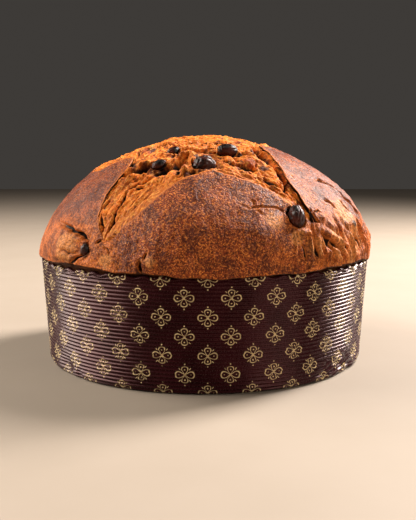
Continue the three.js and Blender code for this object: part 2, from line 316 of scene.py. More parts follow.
# %% The whole cup
# Inside, the wall's thickness and the height of each ring down to the floor of the cup.
INNER_RINGS = [(PAPER, 30.0), (PAPER, 8.0), (PAPER + 0.6, 3.4), (PAPER + 3.4, PAPER)]
rings = [
    (wall_r[0] - 3.0, 0.0),
    *zip(wall_r, wall_z),
    (wall_r[-1] - PAPER * 0.5, wall_z[-1] + 0.15),
    (wall_r[-1] - PAPER, wall_z[-1]),
    *((case_radius(z) - thickness - 0.4, z) for thickness, z in INNER_RINGS),
]
case_points = np.concatenate([ring(r, case_angle, z) for r, z in rings] + [[[0, 0, 0], [0, 0, PAPER]]])
case_piece = make_piece(
    "fluted_case", case_points, *ring_faces(len(rings), CASE_COLUMNS), "paper_case", "paper", {}
)

# %% [markdown]
# ## The case's print
# The paper is dyed a dark plum brown and printed with a lattice of small gold quatrefoils, each a pair
# of larger leaves left and right, a pair of smaller ones above and below, dots, and short strokes
# between the leaves. A UV map counts the lattice's half steps round the wall and up it, and the nodes
# fold every motif onto one quarter of itself, so one quarter is all that has to be drawn.

# %% Lattice coordinates on the wall
HALF_COLUMNS = 52
ROW_STEP = 10.5
FIRST_ROW = 0.9
FIRST_COLUMN = math.radians(-88.9)
COLUMN_STEP = math.tau * RIM_RADIUS / HALF_COLUMNS

mesh = case_piece.data
loop_vertex = np.empty(len(mesh.loops), np.int32)
mesh.loops.foreach_get("vertex_index", loop_vertex)
place = case_points[loop_vertex]
turn = (np.arctan2(place[:, 1], place[:, 0]) - FIRST_COLUMN) % math.tau
face_start = np.empty(len(mesh.polygons), np.int32)
mesh.polygons.foreach_get("loop_start", face_start)
face_of = np.searchsorted(face_start, np.arange(len(turn)), side="right") - 1
first_turn = turn[face_start[face_of]]
turn += math.tau * np.round((first_turn - turn) / math.tau)
lattice_uv = np.stack([turn / math.tau * HALF_COLUMNS, (place[:, 2] - FIRST_ROW) / ROW_STEP], axis=1)
mesh.uv_layers.new(name="lattice").data.foreach_set("uv", lattice_uv.astype(np.float32).ravel())
print(f"print lattice: {HALF_COLUMNS // 2} motifs a row, {2 * COLUMN_STEP:.1f} mm apart")

# %% The motif
# All distances are in millimetres, from the nearest motif's middle.
LINE_WIDTH = 0.38
DIAGONAL = 0.707

paper, tree, shader = new_material("glazed brown baking paper")
lattice = add("SeparateXYZ", (add("UVMap", {}, uv_map="lattice"),)).node.outputs
fold = [add("Math", (lattice[axis], 1.0), operation="PINGPONG") for axis in (0, 1)]
beyond = add("Math", (add("Math", fold, operation="ADD"), 1.0), operation="GREATER_THAN")
from_middle = []
for way, size in zip(fold, (COLUMN_STEP, ROW_STEP)):
    steps = add("Math", (add("Math", (beyond, way), operation="SUBTRACT"),), operation="ABSOLUTE")
    from_middle.append(add("Math", (steps, size), operation="MULTIPLY"))
from_x, from_y = from_middle
place_in_motif = add("CombineXYZ", from_middle)


def leaf(out, side, middle, half_length, half_width):
    """Distance to the outline of a petal, an ellipse that is narrower towards the motif's middle."""
    along = add("Math", (out, 1 / half_length, -middle / half_length), operation="MULTIPLY_ADD")
    taper = add("Math", (along, 0.45, 0.9), operation="MULTIPLY_ADD")
    taper = add("Math", (taper, 0.3), operation="MAXIMUM")
    width = add("Math", (taper, half_width), operation="MULTIPLY")
    across = add("Math", (side, width), operation="DIVIDE")
    radius = add("VectorMath", (add("CombineXYZ", (along, across)),), 1, operation="LENGTH")
    off = add("Math", (add("Math", (radius, 1.0), operation="SUBTRACT"),), operation="ABSOLUTE")
    return add("Math", (off, min(half_length, half_width)), operation="MULTIPLY")


def dot(x, y, radius):
    """Distance from a dot's edge, less than zero inside it, shifted to meet the line's half width."""
    reach = add("VectorMath", (place_in_motif, (x, y, 0.0)), 1, operation="DISTANCE")
    return add("Math", (reach, LINE_WIDTH / 2 - radius), operation="ADD")


def stroke(x, y, half_length):
    """Distance to a short stroke that leans outwards at 45 degrees."""
    off = add("VectorMath", (place_in_motif, (x, y, 0.0)), operation="SUBTRACT")
    along = add("VectorMath", (off, (DIAGONAL, DIAGONAL, 0.0)), 1, operation="DOT_PRODUCT")
    across = add("VectorMath", (off, (DIAGONAL, -DIAGONAL, 0.0)), 1, operation="DOT_PRODUCT")
    past = add("Math", (add("Math", (along,), operation="ABSOLUTE"), half_length), operation="SUBTRACT")
    past = add("Math", (past, 0.0), operation="MAXIMUM")
    return add("VectorMath", (add("CombineXYZ", (past, across)),), 1, operation="LENGTH")


motif = leaf(from_x, from_y, 2.75, 2.5, 1.75)
for shape in (
    leaf(from_y, from_x, 2.5, 2.0, 1.75),
    dot(3.4, 0.0, 0.32),
    dot(0.0, 2.9, 0.38),
    dot(0.0, 5.9, 0.36),
    stroke(2.9, 3.3, 0.45),
):
    motif = add("Math", (motif, shape), operation="MINIMUM")
print("the motif takes", len(tree.nodes), "nodes")

# %% Fluted paper material
# Dyed kraft paper with a thin glaze: dark and slightly purple, with a satin shine along the flutes.
PAPER_DARK = "#280c0f"
PAPER_WORN = "#3a151a"
PRINT_GOLD = "#e6cf9c"
PAPER_SHINE = "#f2b8b8"
SOFT_EDGE = 0.12

value = patterns({"rubbed": (2.5, 3.0, 0.5), "fibres": (0.7, 2.0, 0.5), "clouds": (18, 4.0, 0.5)})
inked = add("MapRange", (motif, LINE_WIDTH / 2 + SOFT_EDGE, LINE_WIDTH / 2 - SOFT_EDGE))
kept_ink = add("MapRange", (value["rubbed"], 0.3, 0.5, 0.45, 1.0))
ink_cover = add("Math", (inked, kept_ink), operation="MULTIPLY")
worn = add("MapRange", (value["clouds"], 0.35, 0.75))
dyed = add("Mix", {0: worn, 6: colour(PAPER_DARK), 7: colour(PAPER_WORN)}, 2, data_type="RGBA")
printed = add("Mix", {0: ink_cover, 6: dyed, 7: colour(PRINT_GOLD)}, 2, data_type="RGBA")
satin = add("MapRange", (value["fibres"], 0.3, 0.7, 0.2, 0.32))
shader.inputs["Specular Tint"].default_value = colour(PAPER_SHINE)
dress([case_piece], paper, printed, satin, 0.3, value["fibres"], 0.25, 0.1)

# %% [markdown]
# ## The loaf's form
# The loaf is a low dome, a little flatter on its left, that swells over the rim. To place a torn edge or a
# crack on it, the dome is unrolled: a point's distance from the apex over the crust, and its bearing,
# make a flat map. Every outline and crack below is drawn on that map in millimetres.


# %% The dome and its map
def dome(flat, height=0.0):
    """The dome's surface from the map: an ellipse turned about +Z, its shoulders pulled in, raised along
    its outward direction by a height."""
    x, y = flat[..., 0], flat[..., 1]
    s = np.hypot(x, y)
    theta = s / DOME_ARC * (math.pi / 2)
    along_x = np.where(s > 1e-9, x / np.maximum(s, 1e-9), 1.0)
    along_y = np.where(s > 1e-9, y / np.maximum(s, 1e-9), 0.0)
    lean = (1 + along_x) / 2
    shoulder = LEFT_SHOULDER * (1 - lean) + RIGHT_SHOULDER * np.cos(theta) * lean
    radius = DOME_RADIUS * np.sin(theta) - shoulder * np.sin(2 * theta)
    z = WIDEST_HEIGHT + DOME_RISE * np.cos(theta)
    out = np.stack([along_x * radius / DOME_RADIUS, along_y * radius / DOME_RADIUS, np.cos(theta)], axis=-1)
    out /= np.linalg.norm(out, axis=-1, keepdims=True)
    return np.stack([along_x * radius, along_y * radius, z], axis=-1) + out * np.asarray(height)[..., None]


print("the dome's foremost point, in mm:", dome(np.array([0.0, -DOME_ARC])).round(1).tolist())

# %% [markdown]
# ## The torn edges
# Four petals of crust meet in four slits. Each torn edge is drawn from a slit to a petal's tip through a
# few points, then made ragged by noise: dough tears along its weakest fibres, never on a clean line.

# %% Outline of the opening
# Each petal: the torn edge from the slit before it up to its tip, and from there down to the next slit.
# Lift is how far its lip stands up, drop how far the crumb lies under it, and fineness how close its
# columns stand, where 1 is the average. Each is given for the edge up to the tip and the edge after it.
SLITS = [(-67, -106), (68, -93), (84, 92), (-76, 98)]  # front left, front right, back right, back left
PETALS = {
    "front": {
        "rise": [(-62, -106), (-55, -105), (-44, -102), (-33, -96), (-22, -87), (-15, -81), (-4, -77)],
        "tip": (5, -72.5),
        "fall": [(18, -77), (29, -80), (39, -82), (46, -85), (53, -88), (62, -93)],
        "lift": (0.3, 0.5),
        "drop": (0.2, 0.5),
        "fineness": (1.5, 1.5),
    },
    "right": {
        "rise": [(65, -86), (60, -82), (57, -76), (50.5, -70.5), (47, -65), (44, -56.5), (38, -44)],
        "tip": (31.5, -27),
        "fall": [(44, -4), (50, 30), (62, 58), (72, 78)],
        "lift": (0.9, 0.5),
        "drop": (1.4, 1.6),
        "fineness": (1.5, 0.75),
    },
    "back": {
        "rise": [(70, 88), (44, 80), (18, 72)],
        "tip": (-6, 58),
        "fall": [(-30, 74), (-52, 86)],
        "lift": (0.8, 0.7),
        "drop": (1.1, 0.9),
        "fineness": (0.6, 0.6),
    },
    "left": {
        "rise": [
            (-70, 84), (-63, 56), (-62, 22), (-69, -8), (-70, -26), (-65, -36), (-57, -38), (-50, -38),
        ],
        "tip": (-41, -42),
        "fall": [(-43, -52), (-50.5, -62), (-58, -70), (-63, -78), (-67, -87), (-68, -97)],
        "lift": (0.4, 0.6),
        "drop": (0.5, 1.3),
        "fineness": (0.75, 1.5),
    },
}
EDGE_COLUMNS = 1000

edge_runs = []
for k, petal in enumerate(PETALS.values()):
    edge_runs.append([SLITS[k], *petal["rise"], petal["tip"]])
    edge_runs.append([petal["tip"], *petal["fall"], SLITS[(k + 1) % 4]])
run_length = np.array([np.hypot(*np.diff(np.array(run, float), axis=0).T).sum() for run in edge_runs])


def for_runs(label):
    """One value for each of the eight runs of torn edge."""
    return np.array([petal[label] for petal in PETALS.values()]).ravel()


run_weight = run_length * for_runs("fineness")
run_count = np.round(run_weight / run_weight.sum() * EDGE_COLUMNS).astype(int)
run_count[-1] += EDGE_COLUMNS - run_count.sum()
clean_edge = np.concatenate([soft_line(run, n + 1)[:-1] for run, n in zip(edge_runs, run_count)])
run_of = np.repeat(np.arange(8), run_count)
petal_of = run_of // 2


def ring_average(values, reach):
    """A moving average round a closed ring of values."""
    window = np.hanning(2 * reach + 3)[1:-1]
    padded = np.concatenate([values[-reach:], values, values[:reach]])
    return np.convolve(padded, window / window.sum(), "valid")


to_slit = np.min([np.hypot(*(clean_edge - slit).T) for slit in SLITS], axis=0)
open_share = smooth(to_slit / 14)
edge_lift = ring_average(for_runs("lift")[run_of], 12) * open_share
edge_drop = ring_average(for_runs("drop")[run_of], 12)
forward = np.roll(clean_edge, -1, axis=0) - np.roll(clean_edge, 1, axis=0)
forward /= np.linalg.norm(forward, axis=1, keepdims=True)
towards_crust = np.stack([forward[:, 1], -forward[:, 0]], axis=1)
edge_seat = np.column_stack([clean_edge, np.zeros(EDGE_COLUMNS)])
ragged = 0.6 * noise(edge_seat, 11, 5) + 0.45 * noise(edge_seat, 4, 6) + 0.3 * noise(edge_seat, 1.7, 7)
# Where the edge runs outwards it is less ragged, so that the columns of the crust never cross.
outward = clean_edge / np.linalg.norm(clean_edge, axis=1, keepdims=True)
facing = np.abs((outward * towards_crust).sum(axis=1))
ragged *= smooth(to_slit / 8) * np.clip(ring_average(facing, 6) * 1.4 - 0.1, 0.12, 1)
torn_edge = clean_edge + towards_crust * ragged[:, None]
print("torn edge:", round(run_length.sum()), "mm long in", EDGE_COLUMNS, "steps")

# %% [markdown]
# ## Relief of the crust
# From large to small the crust has swellings of the dough, blisters, wrinkles where it slumped over the
# rim on the right, cracks where it dried and pulled apart, and a lip along each torn edge. A texture
# could only shade them. Here all are heights added on the map, so they also show in the outline.

# %% Cracks, ridges and swellings of the crust
# Cracks: each a line on the map with its depth and half width.
CRUST_CRACKS = [
    ([(-98.5, -62), (-94, -72), (-90, -78), (-87, -85), (-81.5, -92), (-79, -99), (-80, -102)], 3.8, 1.05),
    ([(-104, -84), (-99.5, -91.5), (-95, -98), (-88, -103.5)], 0.9, 1.1),
    ([(-106, -103), (-100.5, -102), (-94.5, -103), (-88.5, -105), (-80, -106.5)], 2.4, 0.9),
    ([(-67, -106.5), (-70, -105.5), (-74, -103.5)], 1.6, 0.7),
    ([(-68, -110.5), (-66, -114.5), (-65, -118)], 1.1, 0.55),
    ([(-45, -130.5), (-46, -134.5), (-46, -143)], 3.0, 1.3),
    ([(-38, -127), (-41.5, -130.5)], 1.3, 0.7),
    ([(21, -97.5), (26, -99), (29.5, -97.5), (35, -95.5), (41, -93.5), (50, -95)], 1.0, 0.5),
    ([(27, -92), (29, -93.5), (28.5, -97)], 0.9, 0.6),
    ([(29.5, -98.5), (33, -100.5), (37, -102)], 0.6, 0.5),
    ([(64.5, -50), (70.5, -44), (76, -42), (81, -41)], 2.0, 0.9),
    ([(80, -38), (88, -42), (96, -40), (103, -43), (112, -50), (124, -52)], 3.4, 1.5),
    ([(84, -51), (89, -54), (95.5, -53)], 1.8, 1.0),
    ([(73, -66), (78.5, -63.5), (84.5, -64.5)], 1.4, 0.6),
    ([(63.5, -82), (65.5, -86.5), (68, -90.5), (71, -89.5)], 2.0, 0.8),
    ([(66, -84.5), (69.5, -80), (74, -79.5)], 1.7, 0.7),
    ([(75.5, -95.5), (80, -97.5), (85.5, -99), (91, -98)], 3.0, 1.5),
    ([(83.5, -93.5), (89.5, -93.5), (97, -93.5), (102.5, -92.5)], 3.4, 1.6),
    ([(96.5, -86.5), (101.5, -87), (106, -87.5)], 2.2, 0.8),
    ([(106.5, -68), (113, -67.5), (118, -69.5)], 2.2, 0.8),
    ([(86, -101.5), (91, -103), (95, -104.5)], 2.0, 0.8),
    ([(98.5, -95.5), (104.5, -97.5), (110, -99)], 1.8, 0.8),
    ([(73, -105.5), (77.5, -109), (81.5, -113)], 1.5, 0.9),
    ([(64, -110.5), (68.5, -114), (72.5, -118)], 1.3, 0.9),
    ([(50, -58.5), (51, -59.5)], 0.9, 0.8),
    ([(61, -50), (62, -51)], 0.9, 0.9),
    ([(60, 118), (54, 126), (50, 138)], 2.4, 0.9),
    ([(-96, 62), (-104, 54), (-112, 52)], 2.2, 0.8),
    ([(-20, 100), (-8, 104), (6, 102)], 1.2, 0.6),
    ([(104, 30), (112, 38), (124, 40)], 2.0, 0.8),
    ([(-98, 8), (-108, 14), (-121, 12)], 1.6, 0.8),
]
# Ridges: each a line on the map with its height and half width.
CRUST_RIDGES = [
    ([(72, -94), (80, -90.5), (91, -89), (104, -84)], 1.5, 2.4),
    ([(-9, -86), (-5, -91), (-4, -97)], 0.6, 0.6),
    ([(-16, -98), (-12, -103), (-9, -107)], 0.5, 0.6),
    ([(58, -104), (63, -103), (70, -98)], 1.0, 2.0),
    ([(90, -76), (98, -74), (106, -78)], 1.2, 2.0),
]
# Swellings and hollows: place on the map, radius and height.
SWELLINGS = [
    ((-98, -86), 13, 3.0),
    ((-110, -64), 20, 1.6),
    ((-36, -133), 4.2, 1.5),
    ((-80, -112), 8, 0.9),
    ((72, -84.5), 4.2, 2.2),
    ((100, -61), 5.0, 2.2),
    ((82, -94.5), 4.5, 1.6),
    ((-9, -77), 6, 0.6),
    ((80, -60), 10, 1.4),
    ((92, -106), 9, 1.8),
    ((45, -118), 16, 1.0),
    ((-18, -112), 22, 1.4),
    ((51, -93), 5.5, -1.8),
    ((30, 112), 18, 1.6),
    ((-60, 120), 12, 1.4),
    ((110, 66), 15, 1.6),
    ((-46, -138), 5, -1.6),
    ((50, -2), 24, -2.4),
    ((-84, -103), 6, -1.2),
]
print(len(CRUST_CRACKS), "cracks,", len(CRUST_RIDGES), "ridges,", len(SWELLINGS), "swellings and hollows")

# %% Drawing lines, swellings and spots on the map
FAR = 1e9  # farther than anything on the map


def piece_distance(flat, a, b):
    """Distance on the map to one straight piece, and how far along it from 0 to 1."""
    t = np.clip(((flat - a) @ (b - a)) / ((b - a) @ (b - a)), 0, 1)
    return np.hypot(*np.moveaxis(flat - a - t[..., None] * (b - a), -1, 0)), t


def line_distance(flat, line):
    """Distance on the map to a line of straight pieces, and how far along it from 0 to 1."""
    nearest = np.full(flat.shape[:-1], FAR)
    where_on = np.zeros(flat.shape[:-1])
    line = np.array(line, float)
    for k, (a, b) in enumerate(zip(line[:-1], line[1:])):
        d, t = piece_distance(flat, a, b)
        where_on = np.where(d < nearest, (k + t) / (len(line) - 1), where_on)
        nearest = np.minimum(nearest, d)
    return nearest, where_on


def shifted(flat, seat, *layers):
    """The map shifted by smooth noise, so that what is drawn on it wanders: sizes, reaches and seeds."""
    return flat + sum(
        np.stack([noise(seat, size, seed), noise(seat, size, seed + 1)], axis=-1) * reach
        for size, reach, seed in layers
    )


def end_taper(t):
    """One along a line, falling to nothing at both its ends as the root of a sine does."""
    return np.sqrt(np.sin(math.pi * np.clip(t, 0.02, 0.98)))


def cracks(flat, seat, lines):
    """Depth of a set of cracks, at most zero but for the crust curled up a little on both sides, and a
    mask of their inside. Each is a V with a round bottom, wandering about its line."""
    wandering = shifted(flat, seat, (3.2, 0.8, 21), (1.2, 0.3, 23))
    breadth = 1 + 0.5 * noise(seat, 5.0, 25)
    height = np.zeros(flat.shape[:-1])
    mask = np.zeros(flat.shape[:-1])
    for line, depth, half_width in lines:
        d, t = line_distance(wandering, line)
        taper = end_taper(t)
        off = d / (half_width * breadth * (0.5 + 0.7 * taper))
        cut = bell(off) * taper
        height -= depth * cut
        height += 0.22 * depth * bell((off - 2.3) / 1.2) * taper
        mask = np.maximum(mask, cut * min(1.0, depth / 1.5))
    return height, mask


def ridges(flat, seat, lines):
    """Height of a set of round-backed strands, each a low arch across its line."""
    wandering = shifted(flat, seat, (6.0, 0.9, 26))
    height = np.zeros(flat.shape[:-1])
    for line, rise, half_width in lines:
        d, t = line_distance(wandering, line)
        arch = np.clip(1 - (d / (half_width * (0.6 + 0.6 * end_taper(t)))) ** 2, 0, 1)
        height += rise * arch**0.8 * end_taper(t)
    return height


def round_bell(flat, at, radius):
    """A bell round a place on the map."""
    return bell(np.hypot(*np.moveaxis(flat - at, -1, 0)) / radius)


def swellings(flat, lumps):
    """Round swellings, each a bell of its own radius and height."""
    return sum(height * round_bell(flat, at, radius) for at, radius, height in lumps)


def spots(flat, seat, places):
    """A mask of round spots with ragged edges."""
    total = np.max([round_bell(flat, at, radius) for at, radius in places], axis=0)
    return smooth(total * 1.5 + 0.35 * noise(seat, 3.0, 76) - 0.3)


print("a crack runs out over its ends:", end_taper(np.array([0, 0.1, 0.5])).round(2).tolist())

# %% Pale and burnt spots of the crust, with painted sheen and painted shade
# Where the crust browned less, with painted sheen where light glances off the petals, and where it burnt
# beside a raisin, with painted shade in hollows by raisins and cracks: place on the map and radius.
PALE_AND_SHEEN_SPOTS = [
    ((-37, -133), 5.5), ((-97, -90), 13), ((106, -62), 12), ((-70, -120), 7),
    ((76, -106), 9), ((92, -92), 14), ((112, -86), 10), ((43, -103), 8), ((90, -60), 13), ((108, -72), 12),
    ((60, -108), 7), ((30, 118), 9),
]
BURNT_AND_SHADED_SPOTS = [((53, -92), 5), ((-84, -104), 6), ((100, -62), 3), ((-46, -139), 4), ((8, -73), 5)]
print(len(PALE_AND_SHEEN_SPOTS), "pale spots and", len(BURNT_AND_SHADED_SPOTS), "burnt ones")

# %% Raisins on the map
# Where each raisin shows, its half sizes (length, width, depth) and the turn of its length in plan.
RAISINS = {
    "raisin_front": ((56, -94), (6.9, 4.7, 4.8), -62),
    "raisin_middle": ((0, -65), (6.6, 5.2, 6.2), 10),
    "raisin_top": ((13, -48), (6.2, 4.0, 3.6), 4),
    "raisin_scorched": ((-26, -61), (4.4, 2.9, 2.6), 24),
    "raisin_small": ((-18, -44), (4.0, 2.8, 2.2), 30),
    "raisin_left": ((-83.5, -103), (3.3, 2.7, 2.6), 50),
    "raisin_rear": ((16, 44), (6.4, 4.6, 4.6), 35),
    "raisin_rear_left": ((-58, 66), (6.0, 4.4, 4.2), -40),
    "raisin_rear_right": ((66, 96), (5.8, 4.2, 4.2), 70),
}


def sockets(flat, seat, depth, rim):
    """Hollows round the raisins with a low, uneven rim, and a mask of their inside."""
    uneven = 0.16 * noise(seat, 3.5, 28) + 0.08 * noise(seat, 1.4, 29)
    height = np.zeros(flat.shape[:-1])
    mask = np.zeros(flat.shape[:-1])
    for at, (half_length, half_width, _), turn in RAISINS.values():
        angle = math.radians(turn)
        off = flat - at
        along = (off[..., 0] * math.cos(angle) + off[..., 1] * math.sin(angle)) / half_length
        across = (off[..., 1] * math.cos(angle) - off[..., 0] * math.sin(angle)) / half_width
        e = np.hypot(along, across) + uneven
        inside = 1 - smooth((e - 0.95) / 0.3)
        height += rim * bell((e - 1.5) / 0.3) - depth * inside
        mask = np.maximum(mask, inside)
    return height, mask


print(len(RAISINS), "raisins, the longest", 2 * max(half[0] for _, half, _ in RAISINS.values()), "mm")

# %% Height of the crust
WRINKLE_SPACING = 4.6


def crust_height(flat, from_edge, lift):
    """Height of the crust over the dome from swellings, blisters, wrinkles, cracks, sockets and its lip,
    with masks of what is cracked open, of the raisins' sockets and of the wrinkled side."""
    seat = dome(flat)
    s = np.hypot(flat[..., 0], flat[..., 1])
    bearing = np.degrees(np.arctan2(flat[..., 1], flat[..., 0]))
    height = 1.1 * noise(seat, 48, 1) + 0.6 * noise(seat, 20, 2) + 0.3 * noise(seat, 8, 3)
    height += 0.2 * layered(seat, 3.0, 2, 4) + swellings(flat, SWELLINGS) + ridges(flat, seat, CRUST_RIDGES)
    low = smooth((s - 95) / 40)
    slumped = smooth((s - 104) / 28)
    right = smooth((bearing + 66) / 14) * (1 - smooth((bearing + 16) / 22))
    rear = 0.5 * smooth((bearing - 60) / 20) * (1 - smooth((bearing - 110) / 20))
    wrinkled = slumped * np.maximum(right, rear)
    bend = 0.35 * noise(seat, 14, 9)
    round_rim = np.radians(bearing) * 120 / WRINKLE_SPACING + bend
    stretched = np.stack([round_rim, s / (5 * WRINKLE_SPACING), 0 * s], axis=-1)
    folds = 1 - 2.6 * np.abs(noise(stretched, 1.0, 8)) + 0.4 * noise(2.2 * stretched, 1.0, 10)
    height += wrinkled * (1.7 * folds - 0.6) + 0.2 * low * folds * (1 - wrinkled)
    lumpy = smooth((bearing + 62) / 20) * (1 - smooth((bearing + 8) / 25)) * smooth((s - 70) / 20)
    height += lumpy * (0.7 * noise(seat, 11, 12) + 0.4 * noise(seat, 4.5, 17))
    split, split_mask = cracks(flat, seat, CRUST_CRACKS)
    pit, pit_mask = sockets(flat, seat, 3.6, 0.5)
    lip = lift * np.exp(-(from_edge / 5.5) ** 1.6) * (1 + 0.5 * noise(seat, 9, 13))
    pull = -0.35 * lift * bell((from_edge - 13) / 6)
    creased = wrinkled * smooth(0.35 - folds)
    return height + split + pit + lip + pull, split_mask, pit_mask, creased


print("wrinkles", WRINKLE_SPACING, "mm apart on the right")

# %% [markdown]
# ## The crust
# The crust and the loaf inside the case are one closed skin. Its columns start on the torn edge and run
# down to the rim, so the edge stays crisp however it winds. At the top each column turns under, as a
# lip of crust does, and closes out of sight beneath the crumb. At the bottom it rolls over the paper's
# edge and follows the case down to its foot.

# %% Columns from the torn edge to the rim
CRUST_ROWS = 78
ROW_CROWDING = 1.12  # above 1, rows stand closer together at the torn edge
EDGE_ARC = 147.0

slit_bearing = np.unwrap([math.atan2(y, x) for x, y in SLITS + SLITS[:1]])
step = np.linalg.norm(np.roll(clean_edge, -1, axis=0) - clean_edge, axis=1)
rim_bearing = np.empty(EDGE_COLUMNS)
for k in range(4):
    mine = petal_of == k
    gone = np.r_[0.0, np.cumsum(step[mine])]
    rim_bearing[mine] = slit_bearing[k] + (slit_bearing[k + 1] - slit_bearing[k]) * gone[:-1] / gone[-1]
rim_seat = ring(RIM_RADIUS, rim_bearing, 0.0)
wavy = 1.3 * noise(rim_seat, 26, 31) + 0.7 * noise(rim_seat, 9, 32)


def gap(bearing, width, depth):
    """How much sooner the crust ends: a bell round the rim, its place and width in degrees."""
    return depth * bell(np.degrees(turned(rim_bearing, bearing)) / width)


# The crust rolls over the paper's edge, or stops short of it on the left, and a little on the right.
rim_arc = EDGE_ARC - gap(-140, 27, 4.4) - gap(-38, 17, 3.0) + wavy
rim_point = ring(rim_arc, rim_bearing, 0.0)[:, :2]

down = np.linspace(0, 1, CRUST_ROWS)[:, None] ** ROW_CROWDING
column_way = rim_point - torn_edge
crust_map = torn_edge + column_way * down[..., None]
column_length = np.linalg.norm(column_way, axis=1)
column_way /= column_length[:, None]
slant = np.abs((column_way * towards_crust).sum(axis=1))
from_edge = down * column_length * np.clip(slant, 0.35, 1)
cell_area = np.cross(np.diff(crust_map, axis=0), np.roll(crust_map, -1, axis=1)[:-1] - crust_map[:-1])
print(f"cells of {cell_area.min():.4f} to {cell_area.max():.2f} square mm on the map")

# %% The crust's skin
lift_noise = 1 + 0.5 * noise(edge_seat, 16, 14)
height, split_mask, pit_mask, creased = crust_height(crust_map, from_edge, edge_lift * lift_noise)
# The relief fades towards the rim, so that the skin meets the paper evenly.
fade = 1 - smooth((down - 0.93) / 0.07) * 0.6
crust_points = dome(crust_map, height * fade)

# Under the lip: how far back from the edge, and how deep under the crust's top, each row lies. The last
# rows run inwards, out of sight, on shares of the edge's distance from the apex.
LIP_UNDER = [(0.15, 0.75), (0.7, 1.35), (2.0, 1.9), (4.5, 3.2), (7.0, 5.4)]
HIDDEN_SHARES = (0.97, 0.6, 0.25)
HIDDEN_DEPTH = 9.0
thin = np.clip(0.9 + 0.4 * noise(edge_seat, 7, 15), 0.4, 1.4) * (0.35 + 0.65 * open_share)
under_rows = []
for back, deep in LIP_UNDER:
    flat = torn_edge + column_way * (back * (0.25 + 0.75 * open_share))[:, None]
    uneven = 0.25 * noise(np.column_stack([flat, np.zeros(EDGE_COLUMNS)]), 2.5, 16)
    under_rows.append(dome(flat, height[0] - deep * thin - uneven))
for inward in HIDDEN_SHARES:
    under_rows.append(dome(torn_edge * inward, -HIDDEN_DEPTH))
under = np.array(under_rows[::-1])

# Past the rim the skin turns under, steps inside the paper's edge and follows the case to its foot.
tail_x, tail_y, tail_z = crust_points[-1].T
tail_r = np.hypot(tail_x, tail_y)
roll = [
    (tail_r - 0.25, tail_z - 0.7),
    (tail_r - 0.75, tail_z - 1.0),
    (tail_r - 1.1, tail_z - 0.5),
    (RIM_RADIUS - 0.3, CASE_HEIGHT + 0.9),
    (RIM_RADIUS - PAPER - 0.7, CASE_HEIGHT + 0.5),
    *((case_radius(z) - PAPER - 0.9, z) for z in (CASE_HEIGHT - 2.0, 30.0, 8.0)),
    (case_radius(0.0) - PAPER - 2.5, PAPER + 0.5),
]
body = np.array([ring(r, np.arctan2(tail_y, tail_x), z) for r, z in roll])

skin = np.concatenate([under, crust_points, body])
ends = [dome(np.zeros(2), -HIDDEN_DEPTH), [0, 0, PAPER + 0.5]]
points = np.concatenate([skin.reshape(-1, 3), ends])
quads, caps = ring_faces(len(skin), EDGE_COLUMNS)


def on_skin(values, under_value, body_value):
    """Spread values known on the crust to the rows under the lip and inside the case."""
    above = np.full(under.shape[:2], under_value)
    below = np.full(body.shape[:2], body_value)
    return np.r_[np.concatenate([above, values, below]).ravel(), under_value, body_value]


s_map = np.hypot(crust_map[..., 0], crust_map[..., 1])
skin_seat = dome(crust_map)
from_front = np.abs(np.degrees(np.arctan2(crust_map[..., 0], -crust_map[..., 1])))
beside = smooth((from_front - 14 + 14 * noise(skin_seat, 22, 18)) / 26)
amber = smooth((s_map - 88 - 8 * noise(skin_seat, 18, 19)) / 44) * (0.05 + 0.95 * beside)
speckled = 1 - 0.65 * smooth((from_front - 36 + 16 * noise(skin_seat, 20, 20)) / 24)
crust_masks = {
    # The rows under the lip are marked in full and get painted shade; the insides of cracks and of the
    # raisins' sockets get scorching and painted shade.
    "torn": on_skin(np.maximum(split_mask, 0.9 * pit_mask), 1.0, 0.0),
    "amber": on_skin(amber, 0.0, 1.0),
    "edge": on_skin(np.exp(-from_edge / 1.2) * open_share, 1.0, 0.0),
    "speckled": on_skin(speckled, 0.0, 1.0),
    "upper": on_skin(1 - smooth((s_map - 84) / 34), 1.0, 0.0),
    "creased": on_skin(creased, 0.0, 0.0),
    # Pale spots: paler browning, and painted sheen on the petals where the lights glance off them.
    "pale": on_skin(spots(crust_map, skin_seat, PALE_AND_SHEEN_SPOTS), 0.0, 0.0),
    # Burnt spots with painted shade in hollows by raisins and cracks; the roll at the rim and the body
    # inside the case are painted shade in full.
    "burnt_and_shaded": on_skin(spots(crust_map, skin_seat, BURNT_AND_SHADED_SPOTS), 0.0, 1.0),
}
crust_piece = make_piece("crust", points, quads[:, ::-1], caps[:, ::-1], "bread", "bread", crust_masks)

# %% [markdown]
# ## The torn crumb
# Between the petals the crumb swells and tears into strands, flakes and pores. It is a fine grid on the
# map, kept only where the opening is and a little way under the lips, so that the gaps below the crust
# are real and dark. Noise stretched along the tear makes strands, and a saw-tooth of it makes layers
# that end in a step, as torn flakes do.

# %% A grid over the opening
# Close together in front of the crown, where the tears are finest, and wider apart behind it.
CRUMB_SPACING = 0.42
REAR_SPACING = 0.85
REAR_STARTS = -6.0
UNDER_LIP = 7.0

low_x, low_y = torn_edge.min(axis=0) - 2
high_x, high_y = torn_edge.max(axis=0) + 2
xs = np.arange(low_x, high_x, CRUMB_SPACING)
ys = np.r_[np.arange(low_y, REAR_STARTS, CRUMB_SPACING), np.arange(REAR_STARTS, high_y, REAR_SPACING)]
crumb_map = np.stack(np.meshgrid(xs, ys, indexing="ij"), axis=-1)

